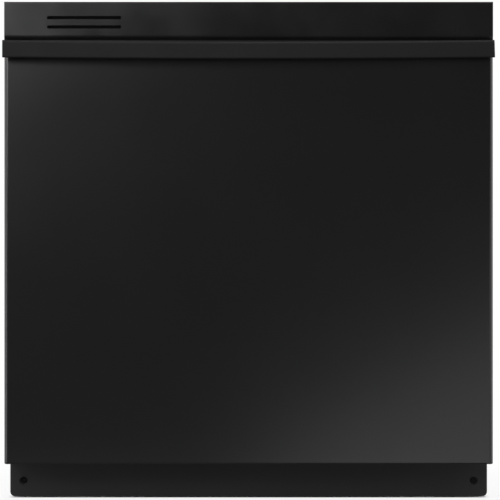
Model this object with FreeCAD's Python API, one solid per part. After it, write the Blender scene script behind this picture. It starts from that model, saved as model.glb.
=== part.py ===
import FreeCAD, Part
import math
import os

os.makedirs("parts", exist_ok=True)
V = FreeCAD.Vector

# Compact built-in dishwasher, millimetres. X is to the right seen from the front, +Y goes into the
# machine, Z is up from the floor. The origin is the centre of the footprint.

# ---- Driving dimensions -------------------------------------------------------------------------
WIDTH = 598.0          # door and handle
HEIGHT = 610.5         # floor to the top of the console
DEPTH = 568.0          # front of the handle to the back of the base
GRIP_PROUD = 38.0      # handle front ahead of the door face
DOOR_T = 48.0          # door face to inner liner
CAB_W = 590.0          # over the side frames
TUB_W = 560.0          # over the tub walls
SHEET = 1.0            # steel sheet
MOULD = 2.5            # moulded plastic wall
GAP = 0.3              # least clearance between bodies
PLAY = 0.05            # radial clearance of a running shaft

Y_FRONT = -DEPTH / 2
Y_BACK = DEPTH / 2
Y_FACE = Y_FRONT + GRIP_PROUD
Y_LINER = Y_FACE + DOOR_T
HALF_W = WIDTH / 2
HALF_CAB = CAB_W / 2
HALF_TUB = TUB_W / 2

# Door
DOOR_Z0 = 44.7
SEAM_Z = 563.4         # top of the door panel, bottom of the console
HINGE_Y = Y_FACE + 24.0
HINGE_Z = 100.0
PIN_R = 4.0

# Tub
FRAME_Y = Y_LINER + 6.0
FRAME_T = 12.0
TUB_Y0 = FRAME_Y + FRAME_T
TUB_Y1 = 262.0
TUB_TOP = 594.0
FLOOR_Z = 134.0
FLOOR_T = 3.0
FRAME_Z0 = 122.0
FRAME_Z1 = 597.0
MOUTH_X = 262.0
MOUTH_Z0 = 140.0
MOUTH_Z1 = 575.0

# Wash system
HUB = (0.0, 35.0)
SUMP = (0.0, -20.0)
CUP = (0.0, -65.0)
SPIGOT_R = 8.0

# Racks
RACK_X = 240.0
RACK_Y0 = -170.0
RACK_Y1 = 215.0
RACK_Z0 = 216.0
RACK_Z1 = 366.0
TRAY_Z0 = 505.0
TRAY_Z1 = 545.0
WIRE = 4.0

# Base
PAN_X = CAB_W / 2 - 1.5
PAN_Y0 = -158.0
PAN_Z = 12.0
KICK_Y = Y_FACE + 64.0
KICK_X = 296.0
KICK_Z = (1.0, 50.0)
SCREW_X = 279.4
SCREW_Z = 20.5
FOOT_X = 255.0
FOOT_Y = (-135.0, 250.0)
FOOT_R = 5.0

# Small parts
FRAME_X = HALF_CAB - 1.5
SEAL_X = 268.0
SEAL_T = 8.0
BRACKET_X = 200.0
BRACKET_HOLE_Y = FRAME_Y + 60.0
BRACKET_HOLE_R = 2.5
STRIKE_Y = Y_LINER - 15.0
STRIKE_Z0 = 590.0
STRIKE_Z1 = 595.0
PIN_X0 = 280.0
RAIL_Z = 140.0
SUMP_R = 96.0
CUP_R = 37.0
FLOAT = (200.0, -120.0)
FLOAT_STEM_R = 4.0
SPRING_X = 288.0
SPRING_Y = FRAME_Y + 30.0
SPRING_Z0 = 130.0
SPRING_Z1 = 330.0
SPRING_R = 4.5
INLET_X = -200.0
INLET_Z = 60.0
INLET_R = 13.2
DRAIN_X = 190.0
DRAIN_Z = 60.0
DRAIN_R = 10.5
KNOCKOUT_R = 11.1
KNOCKOUT_Z = 44.0
BOX_X = 50.0
KICK_SCREW_R = 2.4
KICK_HOLE_R = 5.2
KICK_HEAD_R = 3.8
HEAD_DEEP = 3.6        # screw head behind the kick face
HEAD_T = 1.8

VENT_X = (-246.6, -156.0)
VENT_Z = (579.6, 591.0)
BUTTONS = ["button_power", "button_wash", "button_dry", "button_start"]
BUTTON_XS = [70.0 + 32.0 * i for i in range(len(BUTTONS))]
BUTTON_Y = Y_FACE + 26.0
BUTTON_CLEAR = 0.6
LENS_X = 34.0
DISPENSER = (-90.0, 90.0, 290.0, 380.0)
CAP_X = 64.0
CAP_Z = 335.0
CAP_R = 17.0
SCREW_SHANK = 2.0
SCREW_SPOTS = [(x, z) for x in (-281.0, 281.0) for z in (150.0, 280.0, 410.0, 540.0)]
LATCH_R = 4.0
RUNNER_X = RACK_X + 2.0
TINE_XS = [-200.0 + 36.0 * i for i in range(8)]
TINE_YS = [30.0, 90.0, 150.0]
TINE_LENGTH = 105.0
FOLD_SHIFT = 18.0      # the folding tines lie down between the fixed ones
BASKET = (90.0, -155.0, 225.0, -60.0)
SHELF_Z = RACK_Z1 + 8.0


# ---- Shape helpers ------------------------------------------------------------------------------
def box(x0, x1, y0, y1, z0, z1):
    return Part.makeBox(x1 - x0, y1 - y0, z1 - z0, V(x0, y0, z0))


def wide(half, y0, y1, z0, z1):
    return box(-half, half, y0, y1, z0, z1)


def rod(axis, start, length, radius):
    direction = {"x": V(1, 0, 0), "y": V(0, 1, 0), "z": V(0, 0, 1)}[axis]
    return Part.makeCylinder(radius, length, V(*start), direction)


def along(shape, axis):
    """Edges of a shape that are straight and run along one axis."""
    n = {"x": 0, "y": 1, "z": 2}[axis]
    found = []
    for edge in shape.Edges:
        if len(edge.Vertexes) != 2:
            continue
        step = edge.Vertexes[1].Point - edge.Vertexes[0].Point
        others = [abs(step[i]) for i in range(3) if i != n]
        if max(others) < 1e-6:
            found.append(edge)
    return found


def rounded(x0, x1, y0, y1, z0, z1, axis, radius):
    block = box(x0, x1, y0, y1, z0, z1)
    return block.makeFillet(radius, along(block, axis))


def prism(points, start, end, axis):
    """A closed outline of points or (start, middle, end) arcs, pushed along an axis.

    The outline's own axes are the other two, in X, Y, Z order."""
    place = {
        "x": lambda p: V(start, p[0], p[1]),
        "y": lambda p: V(p[0], start, p[1]),
        "z": lambda p: V(p[0], p[1], start),
    }[axis]
    push = {"x": V(end - start, 0, 0), "y": V(0, end - start, 0), "z": V(0, 0, end - start)}[axis]
    edges = []
    last = None
    first = points[0][0] if isinstance(points[0][0], tuple) else points[0]
    for item in points + [first]:
        arc = isinstance(item[0], tuple)
        head = item[0] if arc else item
        if last is not None and place(last).distanceToPoint(place(head)) > 1e-7:
            edges.append(Part.makeLine(place(last), place(head)))
        last = head
        if arc:
            edges.append(Part.Arc(*[place(p) for p in item]).toShape())
            last = item[2]
    return Part.Face(Part.Wire(edges)).extrude(push)


def both(shape):
    """A piece and its mirror image on the other side of the machine."""
    return [shape, shape.mirror(V(0, 0, 0), V(1, 0, 0))]


def fuse(shapes):
    whole = shapes[0]
    if len(shapes) > 1:
        whole = whole.multiFuse(shapes[1:])
    return whole.removeSplitter()


def save(name, *shapes):
    solids = [solid for shape in shapes for solid in shape.Solids]
    for solid in solids:
        if not solid.isValid() or solid.Volume <= 0:
            raise ValueError(name + " has a bad solid")
    whole = solids[0] if len(solids) == 1 else Part.makeCompound(solids)
    whole.exportStep("parts/" + name + ".step")


def grille(x0, x1, y0, y1, z0, z1, across, cells):
    """A flat lattice of square bars that fills a box. `across` names its two long axes."""
    span = {"x": (x0, x1), "y": (y0, y1), "z": (z0, z1)}
    bars = []
    for axis, count in zip(across, cells):
        low, high = span[axis]
        for i in range(count + 1):
            at = low + (high - low - WIRE) * i / count
            part = dict(span)
            part[axis] = (at, at + WIRE)
            bars.append(box(*part["x"], *part["y"], *part["z"]))
    return fuse(bars)


# ---- Tub ----------------------------------------------------------------------------------------
def make_tub():
    radius = 22.0
    outer = rounded(-HALF_TUB, HALF_TUB, TUB_Y0, TUB_Y1, FLOOR_Z - 40, TUB_TOP, "y", radius)
    inner = rounded(
        -HALF_TUB + SHEET, HALF_TUB - SHEET, TUB_Y0 - 1, TUB_Y1 + 1,
        FLOOR_Z - 41, TUB_TOP - SHEET, "y", radius - SHEET,
    )
    below = wide(HALF_TUB + 1, TUB_Y0 - 1, TUB_Y1 + 1, 0, FLOOR_Z)
    save("tub_wrapper", outer.cut(inner).cut(below))
    back = rounded(
        -HALF_TUB, HALF_TUB, TUB_Y1, TUB_Y1 + SHEET, FLOOR_Z, TUB_TOP, "y", radius
    )
    save("tub_back", back)

    half = HALF_TUB - SHEET - 0.2
    floor = wide(half, TUB_Y0, TUB_Y1 - 0.2, FLOOR_Z, FLOOR_Z + FLOOR_T)
    sump_hole = rod("z", (*SUMP, FLOOR_Z - 1), FLOOR_T + 2, SUMP_R)
    float_hole = rod("z", (*FLOAT, FLOOR_Z - 1), FLOOR_T + 2, FLOAT_STEM_R + 1)
    save("tub_floor", floor.cut(sump_hole).cut(float_hole))

    ring = rounded(
        -FRAME_X, FRAME_X, FRAME_Y, TUB_Y0, FRAME_Z0, FRAME_Z1, "y", 8.0
    )
    mouth = rounded(
        -MOUTH_X, MOUTH_X, FRAME_Y - 1, TUB_Y0 + 1, MOUTH_Z0, MOUTH_Z1, "y", 16.0
    )
    save("tub_front_frame", ring.cut(mouth))

    seal_out = SEAL_X + SEAL_T
    outer = rounded(
        -seal_out, seal_out, Y_LINER + GAP, FRAME_Y, FRAME_Z0 + 4, MOUTH_Z1 + 14, "y", 18.0
    )
    inner = rounded(
        -SEAL_X, SEAL_X, Y_LINER, FRAME_Y + 1, FRAME_Z0 + 4 + SEAL_T, MOUTH_Z1 + 14 - SEAL_T, "y", 12.0
    )
    save("door_seal", outer.cut(inner))

    brackets = []
    tab = 40.0
    sheet = 1.5
    for x in (-BRACKET_X, BRACKET_X):
        foot = box(x - tab / 2, x + tab / 2, FRAME_Y, FRAME_Y + tab, FRAME_Z1, FRAME_Z1 + sheet)
        riser = box(
            x - tab / 2, x + tab / 2, FRAME_Y + tab, FRAME_Y + tab + sheet, FRAME_Z1, HEIGHT
        )
        lip = box(
            x - tab / 2, x + tab / 2, FRAME_Y + tab, FRAME_Y + 2 * tab, HEIGHT - sheet, HEIGHT
        )
        hole = rod("z", (x, BRACKET_HOLE_Y, HEIGHT - 5), 10, BRACKET_HOLE_R)
        brackets.append(fuse([foot, riser, lip]).cut(hole))
    save("countertop_brackets", *brackets)

    tongue = wide(12, STRIKE_Y, FRAME_Y, STRIKE_Z0, STRIKE_Z1)
    plate = wide(20, FRAME_Y - 1.5, FRAME_Y, STRIKE_Z0, FRAME_Z1 - 1)
    window = rod("z", (0, STRIKE_Y + 12, STRIKE_Z0 - 1), 10, 4.0)
    save("strike_plate", fuse([tongue.cut(window), plate]))


def make_side_frames():
    for name, side in (("side_frame_left", -1), ("side_frame_right", 1)):
        inner = HALF_CAB - 1.5
        rail = box(inner, HALF_CAB, PAN_Y0, Y_BACK, 20, RAIL_Z)
        post = box(inner, HALF_CAB, FRAME_Y + 2, FRAME_Y + 42, 118, FRAME_Z1)
        rear = box(inner, HALF_CAB, Y_BACK - 40, Y_BACK, RAIL_Z, FRAME_Z1)
        link = box(inner, HALF_CAB, FRAME_Y + 2, Y_BACK, FRAME_Z1 - 30, FRAME_Z1)
        top_fold = box(HALF_TUB + 1, HALF_CAB, TUB_Y0, Y_BACK, FRAME_Z1 - 1.5, FRAME_Z1)
        rear_fold = box(HALF_TUB - 16, HALF_CAB, Y_BACK - 1.5, Y_BACK, RAIL_Z - 30, FRAME_Z1)
        ear = box(inner, HALF_CAB, HINGE_Y, PAN_Y0, HINGE_Z - 1, 118)
        eye = rod("x", (inner, HINGE_Y, HINGE_Z), 1.5, 10)
        bore = rod("x", (inner - 1, HINGE_Y, HINGE_Z), 4, PIN_R)
        frame = fuse([rail, post, rear, link, top_fold, rear_fold, ear, eye]).cut(bore)
        if side < 0:
            frame = frame.mirror(V(0, 0, 0), V(1, 0, 0))
        save(name, frame)
    shaft = rod("x", (PIN_X0, HINGE_Y, HINGE_Z), HALF_CAB - PIN_X0, PIN_R)
    head = rod("x", (HALF_CAB, HINGE_Y, HINGE_Z), 1.5, PIN_R + 3)
    save("hinge_pins", *both(fuse([shaft, head])))


def make_skins():
    """Damping pads on the tub, and the air break chamber on its left side."""
    pad = 3.0
    y0, y1 = TUB_Y0 + 40, TUB_Y1 - 20
    right = box(HALF_TUB, HALF_TUB + pad, y0, y1, 150, 560)
    left = box(-HALF_TUB - pad, -HALF_TUB, 70, y1, 150, 560)
    top = wide(230, y0, y1, TUB_TOP, TUB_TOP + pad)
    back = wide(220, TUB_Y1 + SHEET, TUB_Y1 + SHEET + pad, 170, 530)
    save("damping_pads", right, left, top, back)
    chamber = rounded(
        -HALF_CAB + 3, -HALF_TUB, TUB_Y0 + 40, 60, 160, 540, "x", 14.0
    )
    save("air_break", chamber)
    coil = rod("z", (0, 0, SPRING_Z0), SPRING_Z1 - SPRING_Z0, SPRING_R)
    coil = coil.cut(rod("z", (0, 0, SPRING_Z0 - 1), SPRING_Z1 - SPRING_Z0 + 2, SPRING_R - 1))
    coil.translate(V(SPRING_X, SPRING_Y, 0))
    save("counter_springs", *both(coil))


# ---- Base ---------------------------------------------------------------------------------------
def make_base():
    wall = 3.0
    tray = wide(PAN_X, PAN_Y0, Y_BACK, PAN_Z, PAN_Z + wall)
    front = wide(PAN_X, PAN_Y0, PAN_Y0 + wall, PAN_Z, 120)
    rear = wide(PAN_X - wall, Y_BACK - wall, Y_BACK, PAN_Z + wall, 100)
    rear = rear.cut(rod("y", (INLET_X, Y_BACK - 5, INLET_Z), 10, INLET_R + 2))
    rear = rear.cut(rod("y", (DRAIN_X, Y_BACK - 5, DRAIN_Z), 10, DRAIN_R + 2))
    rear = rear.cut(rod("y", (BOX_X, Y_BACK - 5, KNOCKOUT_Z), 10, KNOCKOUT_R + 3))
    side = box(PAN_X - wall, PAN_X, PAN_Y0, Y_BACK, PAN_Z, 70)
    tab = box(SCREW_X - 11, SCREW_X + 7, KICK_Y + SHEET, PAN_Y0, PAN_Z, SCREW_Z + 11)
    bosses = []
    for y in FOOT_Y:
        bosses += both(rod("z", (FOOT_X, y, PAN_Z), 30, FOOT_R + 6))
    pan = fuse([tray, front] + both(side) + both(tab) + bosses)
    for y in FOOT_Y:
        for hole in both(rod("z", (FOOT_X, y, PAN_Z - 1), 60, FOOT_R + PLAY)):
            pan = pan.cut(hole)
    shaft = rod("y", (SCREW_X, KICK_Y, SCREW_Z), 20, KICK_SCREW_R)
    pocket = rod("y", (SCREW_X, KICK_Y, SCREW_Z), HEAD_DEEP + HEAD_T, KICK_HOLE_R)
    for hole in both(fuse([shaft, pocket])):
        pan = pan.cut(hole)
    save("base_pan", pan, rear)

    for name, x, y in (
        ("foot_front_left", -FOOT_X, FOOT_Y[0]),
        ("foot_front_right", FOOT_X, FOOT_Y[0]),
        ("foot_rear_left", -FOOT_X, FOOT_Y[1]),
        ("foot_rear_right", FOOT_X, FOOT_Y[1]),
    ):
        pad = rod("z", (x, y, 0), 7, 19)
        stem = rod("z", (x, y, 7), 55, FOOT_R)
        save(name, fuse([pad, stem]))

    low, high = KICK_Z
    face = rounded(-KICK_X, KICK_X, KICK_Y, KICK_Y + 30, low, high + 20, "y", 6.0)
    face = face.common(wide(KICK_X, KICK_Y, KICK_Y + 21, low, high))
    hollow = wide(KICK_X - SHEET, KICK_Y + SHEET, KICK_Y + 40, low - 1, high + 1)
    face = face.cut(hollow)
    for hole in both(rod("y", (SCREW_X, KICK_Y - 1, SCREW_Z), 4, KICK_HOLE_R)):
        face = face.cut(hole)
    save("toe_kick", face)
    shank = rod("y", (SCREW_X, KICK_Y + HEAD_DEEP, SCREW_Z), 15, KICK_SCREW_R)
    head = rod("y", (SCREW_X, KICK_Y + HEAD_DEEP, SCREW_Z), HEAD_T, KICK_HEAD_R)
    save("kick_screws", *both(fuse([shank, head])))

    y1 = Y_BACK - wall
    body = box(BOX_X - 30, BOX_X + 30, y1 - 62, y1, PAN_Z + wall, PAN_Z + 60)
    hollow = box(BOX_X - 28, BOX_X + 28, y1 - 60, y1 - 2, PAN_Z + wall + 2, PAN_Z + 58)
    knockout = rod("y", (BOX_X, y1 - 10, KNOCKOUT_Z), 20, KNOCKOUT_R)
    save("junction_box", body.cut(hollow).cut(knockout))


def make_wash_system():
    z_top = FLOOR_Z + FLOOR_T
    pot = rod("z", (*SUMP, 58), z_top - 58, SUMP_R)
    inner = rod("z", (*SUMP, 61), z_top - 60, SUMP_R - 3)
    post = rod("z", (*HUB, 61), 109, 15)
    spigot = rod("z", (*HUB, 170), 20, SPIGOT_R)
    cap = rod("z", (*HUB, 190), 3, SPIGOT_R + 3)
    save("sump", fuse([pot.cut(inner), post, spigot, cap]))

    plate = rod("z", (*SUMP, z_top), 2, SUMP_R + 14)
    plate = plate.cut(rod("z", (*CUP, z_top - 1), 4, CUP_R + 1))
    plate = plate.cut(rod("z", (*HUB, z_top - 1), 4, 15))
    save("filter_plate", plate)

    cup = rod("z", (*CUP, 80), 66, CUP_R)
    cup = cup.cut(rod("z", (*CUP, 82), 70, CUP_R - 2))
    grip = box(CUP[0] - CUP_R + 1, CUP[0] + CUP_R - 1, CUP[1] - 2, CUP[1] + 2, 82, 152)
    save("filter_cup", fuse([cup, grip]))

    stem = rod("z", (*FLOAT, 100), 52, FLOAT_STEM_R)
    dome = rod("z", (*FLOAT, z_top), 16, 16)
    save("overfill_float", fuse([stem, dome]))

    path_r = 165.0
    bar_r = 4.0
    ring = Part.makeTorus(path_r, bar_r, V(*HUB, z_top + 12), V(0, 0, 1))
    gap = box(-14, 14, HUB[1] + 100, HUB[1] + 200, z_top, z_top + 30)
    clips = []
    for turn in (35, 145, 215, 325):
        x = HUB[0] + path_r * math.cos(math.radians(turn))
        y = HUB[1] + path_r * math.sin(math.radians(turn))
        clips.append(box(x - 4, x + 4, y - 4, y + 4, z_top, z_top + 10))
    save("heater_element", fuse([ring.cut(gap)] + clips))

    z = 66.0
    motor = rod("x", (122, 60, z), 120, 38)
    volute = rod("x", (100, 60, z), 22, 44)
    save("circulation_pump", fuse([motor, volute]))
    case = rod("x", (-190, -70, z), 70, 26)
    outlet = rod("x", (-120, -70, z), 22, 12)

    block = box(INLET_X - 24, INLET_X + 24, Y_BACK - 60, Y_BACK - 20, INLET_Z - 22, INLET_Z + 22)
    thread = rod("y", (INLET_X, Y_BACK - 20, INLET_Z), 20, INLET_R)
    save("inlet_valve", fuse([block, thread]).cut(rod("y", (INLET_X, Y_BACK - 18, INLET_Z), 20, 9)))
    flange = rod("y", (DRAIN_X, Y_BACK - 30, DRAIN_Z), 5, 20)
    barb = rod("y", (DRAIN_X, Y_BACK - 25, DRAIN_Z), 25, DRAIN_R)
    bore = rod("y", (DRAIN_X, Y_BACK - 31, DRAIN_Z), 40, DRAIN_R - 2.5)
    save("drain_pump", fuse([case, outlet]), fuse([flange, barb]).cut(bore))

    duct = 11.0
    wide_half = 17.0
    riser = wide(wide_half, TUB_Y1 - duct, TUB_Y1, z_top + 8, 582)
    run = wide(wide_half, HUB[1], TUB_Y1, 582, TUB_TOP - SHEET)
    drop = rod("z", (*HUB, 555), 27, SPIGOT_R)
    cap = rod("z", (*HUB, 552), 3, SPIGOT_R + 3)
    save("supply_tube", fuse([riser, run, drop, cap]))

    make_arm("lower_spray_arm", 172, 188, 200)
    make_arm("upper_spray_arm", 557, 571, 190)


def make_arm(name, z0, z1, reach):
    """Two tapering lobes round a hub that turns on its spigot."""
    root, tip = 24.0, 15.0
    lobes = []
    for side in (1, -1):
        points = [
            (0, -root), (side * (reach - tip), -tip),
            ((side * (reach - tip), -tip), (side * reach, 0), (side * (reach - tip), tip)),
            (0, root),
        ]
        lobe = prism(points, z0 + 3, z1 - 2, "z")
        lobe.translate(V(*HUB, 0))
        lobes.append(lobe)
    hub = rod("z", (*HUB, z0), z1 - z0, 27)
    bore = rod("z", (*HUB, z0 - 1), z1 - z0 + 2, SPIGOT_R + PLAY)
    save(name, fuse(lobes + [hub]).cut(bore))


# ---- Door ---------------------------------------------------------------------------------------
def make_door_panel():
    """A sheet pan with rounded upright edges and a rounded fold along its foot."""
    edge = 4.5
    foot_bend = 1.8
    side_depth = 42.0
    lip_depth = 20.0
    shell = rounded(
        -HALF_W, HALF_W, Y_FACE, Y_FACE + side_depth + 10, DOOR_Z0, SEAM_Z, "z", edge
    )
    foot = [e for e in shell.Edges if max(abs(v.Z - DOOR_Z0) for v in e.Vertexes) < 1e-6]
    shell = shell.makeFillet(foot_bend, foot)
    hollow = rounded(
        -HALF_W + SHEET, HALF_W - SHEET, Y_FACE + SHEET, Y_FACE + side_depth + 9,
        DOOR_Z0 + SHEET, SEAM_Z + 1, "z", edge - SHEET,
    )
    foot = [e for e in hollow.Edges if max(abs(v.Z - DOOR_Z0 - SHEET) for v in e.Vertexes) < 1e-6]
    hollow = hollow.makeFillet(foot_bend - SHEET, foot)
    skin = shell.cut(hollow).common(wide(HALF_W, Y_FACE, Y_FACE + side_depth, DOOR_Z0, SEAM_Z))
    behind_lip = wide(
        HALF_W - foot_bend, Y_FACE + lip_depth, Y_FACE + side_depth + 1, DOOR_Z0 - 1, DOOR_Z0 + foot_bend
    )
    top = wide(HALF_W - SHEET, Y_FACE + SHEET, Y_FACE + 10, SEAM_Z - SHEET, SEAM_Z)
    save("outer_door_panel", fuse([skin.cut(behind_lip), top]))


def make_console():
    drop = 6.0
    lean = 1.6
    back = Y_LINER - 3
    radius = (drop ** 2 + lean ** 2) / (2 * lean)
    half_lean = radius - math.sqrt(radius ** 2 - (drop / 2) ** 2)
    low = (
        (Y_FACE, SEAM_Z + drop),
        (Y_FACE + half_lean, SEAM_Z + drop / 2),
        (Y_FACE + lean, SEAM_Z),
    )
    soft = 2.0
    cut = soft * (1 - math.cos(math.radians(45)))
    brow = (
        (Y_FACE + soft, HEIGHT),
        (Y_FACE + cut, HEIGHT - cut),
        (Y_FACE, HEIGHT - soft),
    )
    shell = prism([low, (back, SEAM_Z), (back, HEIGHT), brow], -HALF_W, HALF_W, "x")
    inside = prism(
        [
            (Y_FACE + MOULD, HEIGHT - MOULD), (Y_FACE + MOULD, SEAM_Z + drop + 1),
            (Y_FACE + lean + MOULD, SEAM_Z - 1), (back - MOULD, SEAM_Z - 1),
            (back - MOULD, HEIGHT - MOULD),
        ],
        -HALF_W + MOULD, HALF_W - MOULD, "x",
    )
    shell = shell.cut(inside)
    slot_x0, slot_x1 = VENT_X
    for z in VENT_Z:
        slot = rounded(slot_x0, slot_x1, Y_FACE - 1, Y_FACE + 6, z - 2, z + 2, "y", 1.8)
        shell = shell.cut(slot)
    for x in (slot_x0, slot_x1 - 1.2):
        shell = shell.cut(box(x, x + 1.2, Y_FACE - 1, Y_FACE + 0.8, *VENT_Z))
    for x in BUTTON_XS:
        shell = shell.cut(button_box(x, BUTTON_CLEAR, HEIGHT - 10, HEIGHT + 1))
    shell = shell.cut(button_box(LENS_X, 8, HEIGHT - 1.2, HEIGHT + 1))
    shell = shell.cut(wide(32, back - MOULD - 1, back + 1, SEAM_Z - 1, STRIKE_Z1 + 11.5))
    save("console_strip", shell)

    lens = button_box(LENS_X, 8 - GAP, HEIGHT - 1.2, HEIGHT - 0.1)
    save("status_window", lens)

    frame = box(
        slot_x0 - 4, slot_x1 + 4, Y_FACE + MOULD, Y_FACE + MOULD + 4, VENT_Z[0] - 5, VENT_Z[1] + 5
    )
    for z in VENT_Z:
        frame = frame.cut(
            box(slot_x0 + 1, slot_x1 - 1, Y_FACE + 2, Y_FACE + MOULD + 3, z - 2.5, z + 2.5)
        )
    save("vent_grille", frame)

    board = box(40, 230, BUTTON_Y - 12, BUTTON_Y + 14, 586, 588)
    chips = [box(x - 3, x + 3, BUTTON_Y - 3, BUTTON_Y + 3, 588, 594) for x in BUTTON_XS]
    save("control_board", fuse([board] + chips))

    for i, x in enumerate(BUTTON_XS):
        cap = button_box(x, 0, HEIGHT - 8, HEIGHT - 0.2)
        flange = button_box(x, 3, HEIGHT - 6.5, HEIGHT - MOULD - GAP)
        stem = box(x - 2, x + 2, BUTTON_Y - 2, BUTTON_Y + 2, 596, HEIGHT - 8)
        save(BUTTONS[i], fuse([cap, flange, stem]))


def button_box(x, grow, z0, z1):
    half_x = 9.0 + grow / 2
    half_y = 5.0 + grow / 2
    return rounded(
        x - half_x, x + half_x, BUTTON_Y - half_y, BUTTON_Y + half_y, z0, z1, "z", 2.0
    )


def make_handle():
    """A bar with a rounded top, bowed forward and sagging slightly at the middle."""
    depth = 14.0
    tall = 21.4
    sag = 1.9
    bow = 3.0
    z_end = 540.4
    y_end = Y_FRONT + bow
    path = Part.Arc(
        V(-HALF_W, y_end, z_end), V(0, Y_FRONT, z_end - sag), V(HALF_W, y_end, z_end)
    ).toShape()
    r, r_low = 3.4, 2.0
    q, q_low = [radius * (1 - math.cos(math.radians(45))) for radius in (r, r_low)]
    face = prism(
        [
            ((y_end, z_end + r_low), (y_end + q_low, z_end + q_low), (y_end + r_low, z_end)),
            (y_end + depth, z_end + 1), (y_end + depth, z_end + tall - 2),
            ((y_end + r, z_end + tall), (y_end + q, z_end + tall - q), (y_end, z_end + tall - r)),
        ],
        -HALF_W, -HALF_W + 1, "x",
    ).Faces
    section = min(face, key=lambda f: f.CenterOfMass.x)
    bar = Part.Wire([path]).makePipeShell([section.OuterWire], True, False)
    bar = bar.common(wide(HALF_W, Y_FRONT - 10, Y_FACE, z_end - 20, z_end + 40))
    save("handle_bar", bar)
    post = box(HALF_W - 26, HALF_W - 3, Y_FRONT + 6, Y_FACE, z_end + 2, z_end + tall - 3)
    save("handle_brackets", *[p.cut(bar) for p in both(post)])


def make_liner():
    sheet = 1.2
    x_wide = 288.0
    x_low = 268.0
    top = 603.0
    low = 78.0
    face = Y_LINER - sheet
    plate = fuse([
        wide(x_wide, face, Y_LINER, FRAME_Z0, top),
        wide(x_low, face, Y_LINER, low, FRAME_Z0),
    ])
    folds = both(box(x_wide - sheet, x_wide, Y_FACE + 8, Y_LINER, FRAME_Z0, SEAM_Z - 4))
    folds += both(box(x_low - sheet, x_low, Y_FACE + 8, Y_LINER, low, FRAME_Z0))
    folds.append(wide(x_low, Y_FACE + 12, Y_LINER, low, low + sheet))
    pan = rounded(-232, 232, Y_LINER - 7, Y_LINER, 148, 542, "y", 22)
    dish = rounded(
        -232 + sheet, 232 - sheet, Y_LINER - 7 + sheet, Y_LINER + 1, 148 + sheet, 542 - sheet, "y", 20.8
    )
    shell = fuse([plate, pan] + folds).cut(dish)
    x0, x1, z0, z1 = DISPENSER
    shell = shell.cut(box(x0, x1, Y_LINER - 20, Y_LINER + 1, z0, z1))
    shell = shell.cut(wide(16, Y_LINER - 5, Y_LINER + 1, STRIKE_Z0 - 3, STRIKE_Z1 + 3))
    for x, z in SCREW_SPOTS:
        shell = shell.cut(rod("y", (x, Y_LINER - 5, z), 8, SCREW_SHANK))
    save("inner_door_liner", shell)
    screws = []
    for x, z in SCREW_SPOTS:
        head = rod("y", (x, Y_LINER, z), 1.6, 4.2)
        shank = rod("y", (x, Y_LINER - 6, z), 6, SCREW_SHANK)
        screws.append(fuse([head, shank]))
    save("door_screws", *screws)

    arm = box(282, 285, HINGE_Y - 14, HINGE_Y + 14, HINGE_Z, 330)
    eye = rod("x", (282, HINGE_Y, HINGE_Z), 3, 12)
    bore = rod("x", (281, HINGE_Y, HINGE_Z), 5, PIN_R + PLAY)
    save("hinge_arms", *both(fuse([arm, eye]).cut(bore)))


def make_latch():
    z0, z1 = STRIKE_Z0 - 14, STRIKE_Z1 + 8
    block = wide(28, Y_LINER - 32, Y_LINER - 1.2, z0, z1)
    throat = wide(14, STRIKE_Y - 4, Y_LINER, STRIKE_Z0 - 2, STRIKE_Z1 + 2)
    y = STRIKE_Y + 6
    guide = rod("z", (0, y, STRIKE_Z1), 20, LATCH_R + PLAY)
    save("latch_housing", block.cut(throat).cut(guide))
    nose = Part.makeCone(1.5, LATCH_R, 2.0, V(0, y, STRIKE_Z1 + GAP))
    body = rod("z", (0, y, STRIKE_Z1 + GAP + 2), 5.0, LATCH_R)
    save("latch_plunger", fuse([nose, body]))


def make_dispenser():
    x0, x1, z0, z1 = DISPENSER
    front = Y_LINER - 0.6
    block = box(x0 + GAP, x1 - GAP, front - 26, front, z0 + GAP, z1 - GAP)
    well = rounded(x0 + 12, x0 + 72, front - 20, front + 1, z0 + 14, z1 - 14, "y", 8)
    channel = box(x0 + 8, x1 - 8, front - 2.6, front + 1, z0 + 10, z1 - 10)
    tank = rod("y", (CAP_X, front - 12, CAP_Z), 20, CAP_R + PLAY)
    save("dispenser_housing", block.cut(well).cut(channel).cut(tank))
    lid = rounded(x0 + 9, x0 + 75, front - 2.2, front - 0.4, z0 + 10.5, z1 - 10.5, "y", 4)
    save("dispenser_lid", lid)
    cap = rod("y", (CAP_X, front - 8, CAP_Z), 7, CAP_R)
    grip = box(CAP_X - CAP_R + 2, CAP_X + CAP_R - 2, front - 1, front + 0.4, CAP_Z - 2, CAP_Z + 2)
    save("rinse_aid_cap", fuse([cap, grip]))


# ---- Racks --------------------------------------------------------------------------------------
def basket_walls(x0, x1, y0, y1, z0, z1, cells):
    """A floor lattice with four side lattices standing on it, each its own solid."""
    nx, ny, nz = cells
    top = z0 + WIRE
    return [
        grille(x0, x1, y0, y1, z0, top, "xy", (nx, ny)),
        grille(x0, x1, y0, y0 + WIRE, top, z1, "xz", (nx, nz)),
        grille(x0, x1, y1 - WIRE, y1, top, z1, "xz", (nx, nz)),
        grille(x0, x0 + WIRE, y0 + WIRE, y1 - WIRE, top, z1, "yz", (ny, nz)),
        grille(x1 - WIRE, x1, y0 + WIRE, y1 - WIRE, top, z1, "yz", (ny, nz)),
    ]


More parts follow.
